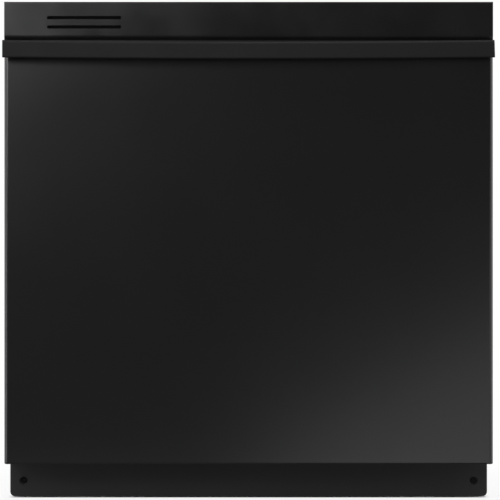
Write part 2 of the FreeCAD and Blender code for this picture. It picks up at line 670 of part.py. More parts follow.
def make_rails(runner_name, z):
    """A channel fixed to the tub wall and a runner inside it, on each side."""
    tall = 24.0
    channel = box(RUNNER_X + 8, MOUTH_X, RACK_Y0, RACK_Y1, z, z + tall)
    groove = box(RUNNER_X + 7, MOUTH_X - 4, RACK_Y0 - 1, RACK_Y1 + 1, z + 5, z + tall - 5)
    blocks = []
    for y in (RACK_Y0 + 40, RACK_Y1 - 60):
        blocks.append(box(MOUTH_X, HALF_TUB - SHEET, y, y + 20, z + 4, z + tall - 4))
    runner = box(
        RUNNER_X, MOUTH_X - 4 - GAP, RACK_Y0, RACK_Y1, z + 5 + GAP, z + tall - 5 - GAP
    )
    save(runner_name, *both(runner))
    return both(fuse([channel.cut(groove)] + blocks))


def make_racks():
    save("main_rack", *basket_walls(
        -RACK_X, RACK_X, RACK_Y0, RACK_Y1, RACK_Z0, RACK_Z1, (12, 10, 3)
    ))
    rails = make_rails("rack_runners", RACK_Z0 + 90)
    save("cutlery_tray", *basket_walls(
        -RACK_X, RACK_X, RACK_Y0, RACK_Y1, TRAY_Z0, TRAY_Z1, (20, 16, 1)
    ))
    rails += make_rails("tray_runners", TRAY_Z0 + 8)
    save("rack_rails", *rails)
    base = RACK_Z0 + WIRE
    tines = []
    for y in TINE_YS[:2]:
        for x in TINE_XS:
            tines.append(rod("z", (x, y, base), TINE_LENGTH, 1.8))
    save("plate_tines", *tines)
    y = TINE_YS[2]
    fold_xs = [x + FOLD_SHIFT for x in TINE_XS]
    shaft = rod("x", (fold_xs[0] - 8, y, base + 4), fold_xs[-1] - fold_xs[0] + 16, 2.0)
    fold = [shaft] + [rod("z", (x, y, base + 6), TINE_LENGTH - 6, 1.8) for x in fold_xs]
    save("folding_tines", *fold)
    x0, y0, x1, y1 = BASKET
    save("cutlery_basket", *basket_walls(
        x0, x1, y0, y1, base + 1, base + 122, (6, 3, 4)
    ))
    shelf_x = -RACK_X + 8
    save("cup_shelf", grille(
        shelf_x, shelf_x + WIRE, RACK_Y0 + 170, RACK_Y1 - 20, SHELF_Z, SHELF_Z + 90, "yz", (6, 3)
    ))


make_tub()
make_side_frames()
make_skins()
make_base()
make_wash_system()
make_door_panel()
make_console()
make_handle()
make_liner()
make_latch()
make_dispenser()
make_racks()
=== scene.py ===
import math

import bmesh
import bpy
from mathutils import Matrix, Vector


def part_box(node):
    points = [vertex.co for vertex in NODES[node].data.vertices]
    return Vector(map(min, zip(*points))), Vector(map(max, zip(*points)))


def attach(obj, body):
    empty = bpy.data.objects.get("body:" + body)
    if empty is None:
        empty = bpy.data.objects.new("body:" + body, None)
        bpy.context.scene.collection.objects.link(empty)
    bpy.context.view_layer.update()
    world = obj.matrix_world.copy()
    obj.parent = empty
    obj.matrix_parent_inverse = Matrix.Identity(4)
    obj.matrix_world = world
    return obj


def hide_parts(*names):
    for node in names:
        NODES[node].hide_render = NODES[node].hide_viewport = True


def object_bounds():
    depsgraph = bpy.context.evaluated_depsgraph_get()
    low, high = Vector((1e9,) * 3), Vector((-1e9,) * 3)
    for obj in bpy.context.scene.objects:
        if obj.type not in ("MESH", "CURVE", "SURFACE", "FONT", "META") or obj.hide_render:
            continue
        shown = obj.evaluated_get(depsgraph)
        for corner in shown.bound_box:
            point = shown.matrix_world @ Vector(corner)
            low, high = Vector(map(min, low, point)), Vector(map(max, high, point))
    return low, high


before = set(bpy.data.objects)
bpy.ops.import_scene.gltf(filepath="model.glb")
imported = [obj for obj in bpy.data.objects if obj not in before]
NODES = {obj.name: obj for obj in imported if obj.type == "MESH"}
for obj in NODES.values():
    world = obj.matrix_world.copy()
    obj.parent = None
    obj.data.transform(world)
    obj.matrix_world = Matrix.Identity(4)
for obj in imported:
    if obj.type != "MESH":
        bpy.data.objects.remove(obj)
CAD_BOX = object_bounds()


# ---- Node and material helpers ------------------------------------------------------------------
class Graph:
    """Builds one procedural material round a Principled shader."""

    def __init__(self, name, color, rough, metal=0.0):
        self.mat = bpy.data.materials.new(name)
        self.mat.use_nodes = True
        self.tree = self.mat.node_tree
        self.shader = self.tree.nodes["Principled BSDF"]
        self.shader.inputs["Base Color"].default_value = (*color, 1)
        self.shader.inputs["Roughness"].default_value = rough
        self.shader.inputs["Metallic"].default_value = metal
        self.bump_out = None

    def node(self, kind, **values):
        """A new node; each value goes to the input of that name or, if none has it, to the property."""
        made = self.tree.nodes.new(kind)
        for key, value in values.items():
            if key in made.inputs:
                made.inputs[key].default_value = value
            else:
                setattr(made, key, value)
        return made

    def link(self, a, b):
        self.tree.links.new(a, b)

    def coords(self, scale=(1, 1, 1)):
        place = self.node("ShaderNodeTexCoord")
        mapping = self.node("ShaderNodeMapping")
        mapping.inputs["Scale"].default_value = scale
        self.link(place.outputs["Object"], mapping.inputs["Vector"])
        return mapping.outputs["Vector"]

    def noise(self, size, detail=3.0, stretch=(1, 1, 1)):
        """Noise whose features are about `size` metres."""
        made = self.node("ShaderNodeTexNoise", Scale=1.0 / size, Detail=detail)
        self.link(self.coords(stretch), made.inputs["Vector"])
        return made.outputs["Fac"]

    def cells(self, size, feature="F1", output="Distance", stretch=(1, 1, 1)):
        made = self.node("ShaderNodeTexVoronoi", Scale=1.0 / size)
        made.feature = feature
        self.link(self.coords(stretch), made.inputs["Vector"])
        return made.outputs[output]

    def spread(self, value, low, high, start=0.3, end=0.7):
        """Maps start..end of the value to low..high."""
        made = self.node("ShaderNodeMapRange")
        for key, number in zip(("From Min", "From Max", "To Min", "To Max"), (start, end, low, high)):
            made.inputs[key].default_value = number
        self.link(value, made.inputs["Value"])
        return made.outputs["Result"]

    def math(self, operation, *values):
        """One maths node; its values are floats or sockets."""
        made = self.node("ShaderNodeMath", operation=operation)
        for place, value in zip(made.inputs, values):
            if isinstance(value, float):
                place.default_value = value
            else:
                self.link(value, place)
        return made.outputs["Value"]

    def rough(self, value, low, high):
        self.link(self.spread(value, low, high), self.shader.inputs["Roughness"])
        return self

    def tint(self, value, dark, light, start=0.3, end=0.7):
        """Colours the shader from dark at `start` of the value to light at `end`."""
        ramp = self.node("ShaderNodeValToRGB")
        ramp.color_ramp.elements[0].position = start
        ramp.color_ramp.elements[1].position = end
        ramp.color_ramp.elements[0].color = (*dark, 1)
        ramp.color_ramp.elements[1].color = (*light, 1)
        self.link(value, ramp.inputs["Fac"])
        self.link(ramp.outputs["Color"], self.shader.inputs["Base Color"])
        return self

    def bump(self, value, height, strength=1.0):
        """Adds a bump of that height in metres on top of any before it."""
        made = self.node("ShaderNodeBump", Strength=strength, Distance=height)
        self.link(value, made.inputs["Height"])
        if self.bump_out is not None:
            self.link(self.bump_out, made.inputs["Normal"])
        self.bump_out = made.outputs["Normal"]
        self.link(self.bump_out, self.shader.inputs["Normal"])
        return self

    def set(self, **values):
        for key, value in values.items():
            self.shader.inputs[key.replace("_", " ")].default_value = value
        return self


def grey(level, tint=(1.0, 1.0, 1.0)):
    return tuple(level * t for t in tint)


# ---- Materials ----------------------------------------------------------------------------------
def moulded(name, level, rough, grain, tint=(1, 1, 1), specular=0.5):
    """Moulded plastic: fine eroded grain, slow gloss changes and a little mottling."""
    g = Graph(name, grey(level, tint), rough)
    slow = g.noise(0.06, 4)
    g.rough(slow, rough - 0.05, rough + 0.07)
    g.tint(g.noise(0.035, 3), grey(level * 0.965, tint), grey(level * 1.035, tint))
    g.bump(g.noise(0.0009, 2), grain)
    g.bump(g.cells(0.0016), grain * 0.6)
    g.set(Specular_IOR_Level=specular)
    return g.mat


def painted(name, level, rough, peel, tint=(1, 1, 1), specular=0.5):
    """Baked enamel on sheet steel: orange peel, faint flow and fine dust in the gloss."""
    g = Graph(name, grey(level, tint), rough)
    g.rough(g.noise(0.11, 2), rough - 0.004, rough + 0.012)
    g.tint(g.noise(0.05, 4), grey(level * 0.96, tint), grey(level * 1.04, tint))
    g.bump(g.noise(0.0022, 2), peel)
    g.bump(g.noise(0.0006, 1), peel * 0.25)
    g.set(Specular_IOR_Level=specular)
    return g.mat


def brushed(name, level, rough, lines, tint=(1, 1, 1.01)):
    """Brushed stainless steel. `lines` stretches the grain along its small axis."""
    g = Graph(name, grey(level, tint), rough, 1.0)
    grain = g.noise(0.0007, 6, lines)
    g.rough(grain, rough - 0.04, rough + 0.05)
    g.tint(grain, grey(level * 0.95, tint), grey(level * 1.03, tint))
    g.bump(grain, 0.000008)
    g.bump(g.noise(0.09, 3), 0.0002)
    return g.mat


def galvanised(name):
    g = Graph(name, (0.42, 0.43, 0.45), 0.42, 0.85)
    flakes = g.cells(0.0045, output="Color")
    split = g.node("ShaderNodeSeparateColor")
    g.link(flakes, split.inputs["Color"])
    g.tint(split.outputs["Red"], (0.46, 0.47, 0.49), (0.56, 0.57, 0.59), 0.0, 1.0)
    g.rough(split.outputs["Green"], 0.34, 0.42)
    g.bump(g.noise(0.003, 4), 0.00001)
    return g.mat


def bitumen(name):
    g = Graph(name, grey(0.03), 0.85)
    g.tint(g.noise(0.03, 4), grey(0.0165), grey(0.0205))
    g.rough(g.noise(0.01, 4), 0.7, 0.82)
    g.bump(g.noise(0.0016, 4), 0.00022)
    g.bump(g.cells(0.006, "DISTANCE_TO_EDGE"), 0.00012)
    return g.mat


def rubber(name, level):
    g = Graph(name, grey(level), 0.6)
    g.tint(g.noise(0.01, 4), grey(level * 0.8), grey(level * 1.25))
    g.rough(g.noise(0.006, 3), 0.5, 0.72)
    g.bump(g.noise(0.0012, 3), 0.00008)
    return g.mat


def vinyl(name):
    g = Graph(name, (0.3, 0.33, 0.37), 0.32)
    g.tint(g.noise(0.02, 4), (0.27, 0.3, 0.34), (0.34, 0.37, 0.41))
    g.rough(g.noise(0.005, 3), 0.24, 0.4)
    g.bump(g.noise(0.003, 3), 0.00012)
    g.set(Coat_Weight=0.3, Coat_Roughness=0.2)
    return g.mat


def board(name):
    g = Graph(name, (0.02, 0.12, 0.05), 0.4)
    tracks = g.cells(0.004, "DISTANCE_TO_EDGE")
    g.tint(tracks, (0.05, 0.22, 0.1), (0.012, 0.09, 0.035), 0.04, 0.12)
    g.bump(tracks, 0.0001)
    return g.mat


def perforated(name):
    """Steel with rows of small punched holes whose centres are painted near black as the shade seen through
    them.
    """
    g = Graph(name, grey(0.5), 0.3, 1.0)
    holes = g.node("ShaderNodeTexVoronoi", Scale=1 / 0.0028, Randomness=0.0)
    g.link(g.coords(), holes.inputs["Vector"])
    # painted shade: near black at each hole's centre for the dark seen through the holes
    g.tint(holes.outputs["Distance"], grey(0.02), grey(0.5), 0.28, 0.34)
    g.bump(holes.outputs["Distance"], 0.0003)
    return g.mat


def studio_floor(name):
    """Pale paper that glows plain white for the camera further out; near the object the glow is faded out
    as a painted contact shadow, so the truly lit paper shows, dark under the object and faintly shaded
    round it.
    """
    g = Graph(name, grey(0.82), 0.7)
    g.bump(g.noise(0.004, 4), 0.00005)
    place = g.node("ShaderNodeTexCoord")
    split = g.node("ShaderNodeSeparateXYZ")
    g.link(place.outputs["Object"], split.inputs[0])
    outside = []
    footprint = (("X", 0.0, 0.296), ("Y", 0.051, 0.233))  # axis, centre and half size of the base
    for axis, centre, half in footprint:
        shifted = g.math("SUBTRACT", split.outputs[axis], centre)
        outside.append(g.math("SUBTRACT", g.math("ABSOLUTE", shifted), half))
    gap = g.math("MAXIMUM", *outside)
    # painted contact shadow: no glow inside the base's outline, rising to 0.8 of it just past the edge and
    # to full glow 0.25 m out
    edge = g.spread(gap, 0.0, 1.0, -0.003, 0.004)
    shade = g.spread(gap, 0.8, 1.0, 0.0, 0.25)
    clear = g.math("MULTIPLY", edge, shade)
    ray = g.node("ShaderNodeLightPath")
    glow = g.node("ShaderNodeEmission", Strength=1.0)
    fade = g.node("ShaderNodeMixShader")
    g.link(g.math("MULTIPLY", clear, ray.outputs["Is Camera Ray"]), fade.inputs["Fac"])
    g.link(g.shader.outputs["BSDF"], fade.inputs[1])
    g.link(glow.outputs["Emission"], fade.inputs[2])
    g.link(fade.outputs["Shader"], g.tree.nodes["Material Output"].inputs["Surface"])
    return g.mat


def smoked_lens(name):
    g = Graph(name, grey(0.015), 0.08)
    g.rough(g.noise(0.004, 3), 0.05, 0.14)
    g.set(Coat_Weight=1.0, Coat_Roughness=0.03)
    return g.mat


PANEL = painted("satin_black_enamel", 0.0028, 0.19, 0.000008)
CONSOLE = moulded("console_black", 0.0035, 0.22, 0.000003, specular=0.36)
GRIP = moulded("grip_black", 0.004, 0.58, 0.000005, specular=0.2)
TRIM = moulded("trim_black", 0.008, 0.45, 0.00002)
# The vent's black is the plastic's own; its specular is cut to almost nothing so it reads as the shade
# inside the slots, a painted shade.
VENT_SHADE = moulded("vent_black_painted_shade", 0.004, 0.8, 0.00002, specular=0.06)
KICK = painted("kick_black", 0.018, 0.5, 0.00002, specular=0.14)
STEEL = brushed("tub_steel", 0.55, 0.26, (1, 1, 0.02))
LINER = brushed("liner_steel", 0.58, 0.24, (0.02, 1, 1))
ZINC = galvanised("zinc_coat")
POLY = moulded("grey_polypropylene", 0.23, 0.42, 0.00003, (0.97, 1.0, 1.04))
PALE_POLY = moulded("pale_polypropylene", 0.48, 0.4, 0.00003, (0.98, 1.0, 1.02))
BASE = moulded("black_polypropylene_and_jet_shade", 0.02, 0.5, 0.00004)
CAP_BLUE = moulded("blue_grey_polypropylene", 0.16, 0.36, 0.00002, (0.75, 0.95, 1.3))
PAD = bitumen("bitumen_pad")
RUBBER = rubber("gasket_rubber", 0.07)
VINYL = vinyl("vinyl_coat")
PUMP = moulded("glass_filled_plastic", 0.06, 0.5, 0.00004)
BOARD = board("solder_mask")
SIEVE = perforated("punched_steel")
LENS = smoked_lens("smoked_lens")
BLACK_SCREW = painted("black_oxide", 0.004, 0.4, 0.00001, specular=0.15)
BRIGHT_SCREW = brushed("bright_steel", 0.55, 0.25, (1, 1, 1))
MARKS = moulded("pale_ink", 0.42, 0.5, 0.000005)
LAMP = smoked_lens("lamp_window")
FLOOR = studio_floor("pale_floor")

NODE_MATERIALS = {
    PANEL: ["outer_door_panel"],
    CONSOLE: ["console_strip"],
    GRIP: ["handle_bar", "handle_brackets"],
    VENT_SHADE: ["vent_grille"],
    TRIM: ["latch_housing", "latch_plunger", "junction_box"],
    CAP_BLUE: ["rinse_aid_cap"],
    KICK: ["toe_kick"],
    STEEL: ["tub_wrapper", "tub_back", "tub_front_frame", "heater_element"],
    LINER: ["inner_door_liner"],
    ZINC: [
        "side_frame_left", "side_frame_right", "hinge_arms", "hinge_pins", "countertop_brackets",
        "strike_plate", "rack_rails", "rack_runners", "tray_runners", "counter_springs",
    ],
    POLY: [
        "tub_floor", "sump", "supply_tube", "lower_spray_arm", "upper_spray_arm",
        "filter_cup", "overfill_float", "cutlery_basket", "dispenser_lid",
    ],
    PALE_POLY: ["air_break", "dispenser_housing"],
    BASE: ["base_pan"],
    PAD: ["damping_pads"],
    RUBBER: ["door_seal"],
    VINYL: ["main_rack", "plate_tines", "folding_tines", "cup_shelf", "cutlery_tray"],
    PUMP: ["circulation_pump", "drain_pump", "inlet_valve"],
    BOARD: ["control_board"],
    SIEVE: ["filter_plate"],
    LENS: ["status_window"],
    BLACK_SCREW: ["kick_screws"],
    BRIGHT_SCREW: ["door_screws"],
}


def dress(obj, material):
    if not obj.material_slots:
        obj.data.materials.append(material)
    for place in obj.material_slots:
        place.material = material


def dress_nodes():
    for material, names in NODE_MATERIALS.items():
        for name in names:
            dress(NODES[name], material)
    for name, obj in NODES.items():
        if name.startswith("button_"):
            dress(obj, TRIM)
        if name.startswith("foot_"):
            dress(obj, BASE)


def piece(name, mesh_or_curve, material, body, stands_for=()):
    obj = bpy.data.objects.new(name, mesh_or_curve)
    bpy.context.scene.collection.objects.link(obj)
    dress(obj, material)
    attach(obj, body)
    if stands_for:
        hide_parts(*stands_for)
    return obj


def bent(points, radius, closed=False, steps=6):
    """The points of a path whose corners are rounded by arcs of about that radius."""
    points = [Vector(p) for p in points]
    out = []
    count = len(points)
    for i, here in enumerate(points):
        if not closed and i in (0, count - 1):
            out.append(here)
            continue
        back = points[i - 1] - here
        ahead = points[(i + 1) % count] - here
        reach = min(radius, 0.45 * back.length, 0.45 * ahead.length)
        start = here + back.normalized() * reach
        end = here + ahead.normalized() * reach
        for k in range(steps + 1):
            t = k / steps
            out.append((1 - t) ** 2 * start + 2 * t * (1 - t) * here + t * t * end)
    return out


def wires(name, paths, radius, material, body, stands_for=()):
    """One curve object with a round wire along each (points, closed) path."""
    curve = bpy.data.curves.new(name, "CURVE")
    curve.dimensions = "3D"
    curve.bevel_depth = radius
    curve.bevel_resolution = 2
    curve.use_fill_caps = True
    for points, closed in paths:
        spline = curve.splines.new("POLY")
        spline.points.add(len(points) - 1)
        for target, p in zip(spline.points, points):
            target.co = (*p, 1)
        spline.use_cyclic_u = closed
        spline.use_smooth = True
    return piece(name, curve, material, body, stands_for)


def mix(a, b, t):
    return a + (b - a) * t


# ---- Camera, lights, floor ----------------------------------------------------------------------
SENSOR = 36
CAMERA_DISTANCE = 4.2  # from the door's face
SEEN_WIDTH = 0.6116  # what the picture spans across at the door's face
CAMERA_RIGHT, CAMERA_RISE = 0.0017, 0.0015  # off the middle of the door's face
FLOOR_DROP = 0.0005
FLOOR_HALF = 6
ROOM_LIGHT, MIRRORED_LIGHT = 0.55, 0.15  # the room as it lights the object and as gloss mirrors it


def aim(obj, target):
    obj.rotation_euler = (Vector(target) - obj.location).to_track_quat("-Z", "Y").to_euler()


def softbox(name, place, target, size, power, turn=0.0):
    lamp = bpy.data.lights.new(name, "AREA")
    lamp.shape = "RECTANGLE"
    lamp.size, lamp.size_y = size
    lamp.energy = power
    obj = bpy.data.objects.new(name, lamp)
    bpy.context.scene.collection.objects.link(obj)
    obj.location = place
    aim(obj, target)
    obj.rotation_euler.rotate_axis("Z", math.radians(turn))
    obj.visible_camera = False


def background(tree, strength):
    made = tree.nodes.new("ShaderNodeBackground")
    made.inputs["Color"].default_value = (1, 1, 1, 1)
    made.inputs["Strength"].default_value = strength
    return made.outputs[0]


def pick(tree, ray_kind, other, chosen):
    """The chosen shader for rays of that kind and the other one for the rest."""
    made = tree.nodes.new("ShaderNodeMixShader")
    ray = tree.nodes.new("ShaderNodeLightPath")
    tree.links.new(ray.outputs[ray_kind], made.inputs["Fac"])
    tree.links.new(other, made.inputs[1])
    tree.links.new(chosen, made.inputs[2])
    return made.outputs[0]


def make_camera(face, top):
    data = bpy.data.cameras.new("camera")
    data.sensor_width = SENSOR
    data.lens = SENSOR * CAMERA_DISTANCE / SEEN_WIDTH
    data.clip_end = 60
    camera = bpy.data.objects.new("camera", data)
    bpy.context.scene.collection.objects.link(camera)
    camera.location = (CAMERA_RIGHT, face - CAMERA_DISTANCE, 0.5 * top + CAMERA_RISE)
    camera.rotation_euler = (math.radians(90), 0, 0)
    bpy.context.scene.camera = camera


def make_world():
    """A white room that the camera sees plain and that gloss mirrors only faintly."""
    world = bpy.data.worlds.new("studio")
    bpy.context.scene.world = world
    world.use_nodes = True
    tree = world.node_tree
    tree.nodes.clear()
    out = tree.nodes.new("ShaderNodeOutputWorld")
    room = pick(tree, "Is Glossy Ray", background(tree, ROOM_LIGHT), background(tree, MIRRORED_LIGHT))
    tree.links.new(pick(tree, "Is Camera Ray", room, background(tree, 1.0)), out.inputs["Surface"])


def make_lights(face):
    """Soft lights: the first five draw the door's reflections, the others light the sides and back."""
    softbox("key_left", (-0.80, face - 2.0, 1.00), (-0.4, face, 0.6), (0.9, 0.7), 14, 45)
    softbox("edge_left", (-1.7, face - 1.5, 0.35), (-0.3, face, 0.3), (0.5, 1.1), 9)
    softbox("edge_right", (1.7, face - 1.5, 0.35), (0.3, face, 0.3), (0.5, 1.1), 3)
    softbox("floor_glow", (0, face - 0.45, 0.002), (0, face - 0.45, 1), (1.0, 0.5), 0.42)
    softbox("card_right", (0.66, face - 2.0, -0.02), (0.66, face, -0.02), (1.2, 0.5), 1.82, 26)
    softbox("top_front", (0, face - 0.5, 1.9), (0, 0, 0.3), (2.2, 0.7), 22)
    softbox("side_left", (-2.2, 0.1, 0.9), (0, 0, 0.3), (2.0, 2.2), 32)
    softbox("side_right", (2.2, -0.1, 0.9), (0, 0, 0.3), (2.0, 2.2), 32)
    softbox("back", (0.4, 2.4, 1.4), (0, 0, 0.3), (2.4, 1.8), 17)


def make_floor(ground):
    mesh = bpy.data.meshes.new("floor")
    grid = bmesh.new()
    bmesh.ops.create_grid(grid, x_segments=2, y_segments=2, size=FLOOR_HALF)
    grid.to_mesh(mesh)
    grid.free()
    floor = bpy.data.objects.new("floor", mesh)
    bpy.context.scene.collection.objects.link(floor)
    floor.location = (0, 0, ground - FLOOR_DROP)
    floor.visible_glossy = False
    dress(floor, FLOOR)


def make_studio():
    low, high = CAD_BOX
    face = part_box("outer_door_panel")[0][1]
    make_camera(face, high[2])
    make_world()
    make_lights(face)
    make_floor(low[2])
    bpy.context.scene.view_settings.view_transform = "Standard"


# ---- Racks --------------------------------------------------------------------------------------
def ring(x0, x1, y0, y1, z, corner=0.018):
    return bent([(x0, y0, z), (x1, y0, z), (x1, y1, z), (x0, y1, z)], corner, True), True


def cradle(x0, x1, y0, y1, z0, z1, at, axis):
    """A wire that comes down one wall, crosses the floor and climbs the other."""
    if axis == "y":
        points = [(at, y0, z1), (at, y0, z0), (at, y1, z0), (at, y1, z1)]
    else:
        points = [(x0, at, z1), (x0, at, z0), (x1, at, z0), (x1, at, z1)]
    return bent(points, 0.012), False


def lattice(x0, x1, y0, y1, z0, z1, inset, over, across, along):
    """Crossing wires over a floor and up its walls.

    `across` and `along` are (how many, gap at the ends); the second layer lies `over` the first.
    """
    paths = []
    count, gap = across
    for i in range(count):
        at = mix(x0 + gap, x1 - gap, i / (count - 1))
        paths.append(cradle(x0, x1, y0 + inset, y1 - inset, z0, z1, at, "y"))
    count, gap = along
    for i in range(count):
        at = mix(y0 + gap, y1 - gap, i / (count - 1))
        paths.append(cradle(x0 + inset, x1 - inset, y0, y1, z0 + over, z1, at, "x"))
    return paths


def make_main_rack():
    low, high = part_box("main_rack")
    frame_r, wire_r = 0.0026, 0.0017
    foot, low_hoop, mid_hoop = 0.0035, 0.012, 0.52
    x0, x1 = low[0] + frame_r, high[0] - frame_r
    y0, y1 = low[1] + frame_r, high[1] - frame_r
    z0, z1 = low[2] + foot, high[2] - frame_r
    hoops = [ring(x0, x1, y0, y1, z) for z in (z1, mix(z0, z1, mid_hoop), z0 + low_hoop)]
    wires("main_rack_frame", hoops, frame_r, VINYL, "rack", ("main_rack",))
    paths = lattice(x0, x1, y0, y1, z0, z1, 0.0042, 0.0032, (17, 0.022), (13, 0.024))
    wires("main_rack_wires", paths, wire_r, VINYL, "rack", ())


def make_tray():
    low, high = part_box("cutlery_tray")
    frame_r, wire_r = 0.0024, 0.0013
    foot, low_hoop = 0.003, 0.004
    x0, x1 = low[0] + frame_r, high[0] - frame_r
    y0, y1 = low[1] + frame_r, high[1] - frame_r
    z0, z1 = low[2] + foot, high[2] - frame_r
    hoops = [ring(x0, x1, y0, y1, z) for z in (z1, z0 + low_hoop)]
    wires("tray_frame", hoops, frame_r, VINYL, "tray", ("cutlery_tray",))
    paths = lattice(x0, x1, y0, y1, z0, z1, 0.0036, 0.0026, (31, 0.014), (7, 0.03))
    wires("tray_wires", paths, wire_r, VINYL, "tray", ())


TINE_R = 0.0018
TINES = 8


def make_tines():
    """Two fixed rows of bent tines on cross rods, and the straight row that folds down."""
    low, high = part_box("plate_tines")
    fold_low, fold_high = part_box("folding_tines")
    x0, x1 = low[0] + TINE_R, high[0] - TINE_R
    toe, lift, elbow = 0.009, 0.001, 0.006
    rod_back, rod_lift, rod_out = 0.008, 0.0012, 0.02
    paths = []
    for y in (low[1] + TINE_R, high[1] - TINE_R):
        for i in range(TINES):
            x = mix(x0, x1, i / (TINES - 1))
            foot = low[2] + lift
            paths.append((bent([(x, y - toe, foot), (x, y, foot), (x, y, high[2])], elbow), False))
        rod_y, rod_z = y - rod_back, low[2] + rod_lift
        paths.append(([(x0 - rod_out, rod_y, rod_z), (x1 + rod_out, rod_y, rod_z)], False))
    wires("plate_tine_wires", paths, TINE_R, VINYL, "rack", ("plate_tines",))
    y = 0.5 * (fold_low[1] + fold_high[1])
    base = fold_low[2] + 0.002
    fold_inset = 0.008
    paths = [([(fold_low[0], y, base), (fold_high[0], y, base)], False)]
    for i in range(TINES):
        x = mix(fold_low[0] + fold_inset, fold_high[0] - fold_inset, i / (TINES - 1))
        paths.append(([(x, y, base), (x, y, fold_high[2])], False))
    wires("folding_tine_wires", paths, TINE_R, VINYL, "folding_tines", ("folding_tines",))


def make_shelf():
    low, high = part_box("cup_shelf")
    x = 0.5 * (low[0] + high[0])
    r, corner, gaps = 0.0019, 0.014, 9
    y0, y1, z0, z1 = low[1] + r, high[1] - r, low[2] + r, high[2] - r
    paths = [(bent([(x, y0, z0), (x, y1, z0), (x, y1, z1), (x, y0, z1)], corner, True), True)]
    for i in range(1, gaps):
        y = mix(y0, y1, i / gaps)
        paths.append(([(x, y, z0), (x, y, z1)], False))
    wires("cup_shelf_wires", paths, r, VINYL, "cup_shelf", ("cup_shelf",))


def make_springs():
    """A coil between two straight hooks in each side frame; it stays as long when the door opens."""
    low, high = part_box("counter_springs")
    coil_r, wire_r, inset = 0.0036, 0.0008, 0.0045
    hook, coil_end = 0.012, 0.016
    turns, per_turn = 46, 10
    y = 0.5 * (low[1] + high[1])
    paths = []
    for x in (low[0] + inset, high[0] - inset):
        points = [Vector((x, y, low[2])), Vector((x, y, low[2] + hook))]
        for k in range(turns * per_turn + 1):
            a = 2 * math.pi * k / per_turn
            z = mix(low[2] + coil_end, high[2] - coil_end, k / (turns * per_turn))
            points.append(Vector((x + coil_r * math.cos(a), y + coil_r * math.sin(a), z)))
        points += [Vector((x, y, high[2] - hook)), Vector((x, y, high[2]))]
        paths.append((points, False))
    wires("spring_coils", paths, wire_r, BRIGHT_SCREW, "cabinet", ("counter_springs",))


# ---- Turned and block pieces --------------------------------------------------------------------
class Shape:
    """Collects blocks, turned forms, screws and thin plates into one mesh."""

    def __init__(self):
        self.bm = bmesh.new()

    def block(self, low, high, soft=0.0):
        verts = bmesh.ops.create_cube(self.bm, size=1.0)["verts"]
        for v in verts:
            v.co = Vector([mix(a, b, t + 0.5) for a, b, t in zip(low, high, v.co)])
        if soft:
            edges = list({e for v in verts for e in v.link_edges})
            bmesh.ops.bevel(self.bm, geom=edges, offset=soft, segments=2, profile=0.5, affect="EDGES")
        return self

    def turned(self, profile, centre, axis, sides=36):
        """A form turned about an axis from (radius, distance along it) pairs."""
        w = Vector(axis).normalized()
        u = w.orthogonal().normalized()
        v = w.cross(u)
        rings = []
        for radius, height in profile:
            base = Vector(centre) + w * height
            if radius <= 0:
                rings.append([self.bm.verts.new(base)])
                continue
            rings.append([
                self.bm.verts.new(base + radius * (u * math.cos(a) + v * math.sin(a)))
                for a in (2 * math.pi * i / sides for i in range(sides))
            ])
        for low, high in zip(rings, rings[1:]):
            for i in range(sides):
                j = (i + 1) % sides
                corners = [low[i % len(low)], low[j % len(low)], high[j % len(high)], high[i % len(high)]]
                self.bm.faces.new(list(dict.fromkeys(corners)))
        for end in (rings[0], rings[-1]):
            if len(end) > 2:
                self.bm.faces.new(end)
        return self

    def screw(self, centre, axis, radius, tall, slot=0.3):
        """A pan head with a cross recess; `slot` is the recess arm as part of the radius."""
        w = Vector(axis).normalized()
        u = Vector((1, 0, 0)) if abs(w.x) < 0.5 else Vector((0, 1, 0))
        v = w.cross(u)
        base = Vector(centre)
        sides = 32

        def loop(points, height):
            made = [self.bm.verts.new(base + u * p[0] + v * p[1] + w * height) for p in points]
            edges = [self.bm.edges.new((made[i], made[i - 1])) for i in range(len(made))]
            return made, edges

        def circle(r):
            return [
                (r * math.cos(2 * math.pi * i / sides), r * math.sin(2 * math.pi * i / sides))
                for i in range(sides)
            ]

        arm, half = radius * 0.56, radius * slot * 0.42
        mouth_taper, recess_floor = 0.8, 0.25
        cross = [
            (half, half), (half, arm), (-half, arm), (-half, half), (-arm, half), (-arm, -half),
            (-half, -half), (-half, -arm), (half, -arm), (half, -half), (arm, -half), (arm, half),
        ]
        outline = ((radius, 0), (radius, tall * 0.55), (radius * 0.82, tall))
        rings = [loop(circle(r), height) for r, height in outline]
        mouth = loop(cross, tall)
        floor = loop([(x * mouth_taper, y * mouth_taper) for x, y in cross], tall * recess_floor)
        for (low, _), (high, _) in list(zip(rings, rings[1:])) + [(mouth, floor)]:
            for i in range(len(low)):
                self.bm.faces.new([low[i - 1], low[i], high[i], high[i - 1]])
        bmesh.ops.triangle_fill(self.bm, edges=rings[-1][1] + mouth[1], use_beauty=True)
        self.bm.faces.new(floor[0])
        return self

    def plate(self, points, thick):
        """A thin upright-sided plate over a flat outline lying in X and Y."""
        low = [self.bm.verts.new(Vector(p)) for p in points]
        high = [self.bm.verts.new(Vector(p) + Vector((0, 0, thick))) for p in points]
        self.bm.faces.new(high)
        for i in range(len(low)):
            self.bm.faces.new([low[i - 1], low[i], high[i], high[i - 1]])
        return self

    def done(self, name, material, body, stands_for=()):
        bmesh.ops.recalc_face_normals(self.bm, faces=self.bm.faces[:])
        mesh = bpy.data.meshes.new(name)
        self.bm.to_mesh(mesh)
        self.bm.free()
        mesh.shade_smooth()
        mesh.set_sharp_from_angle(angle=math.radians(38))
        return piece(name, mesh, material, body, stands_for)


def middle(low, high):
    return [0.5 * (a + b) for a, b in zip(low, high)]


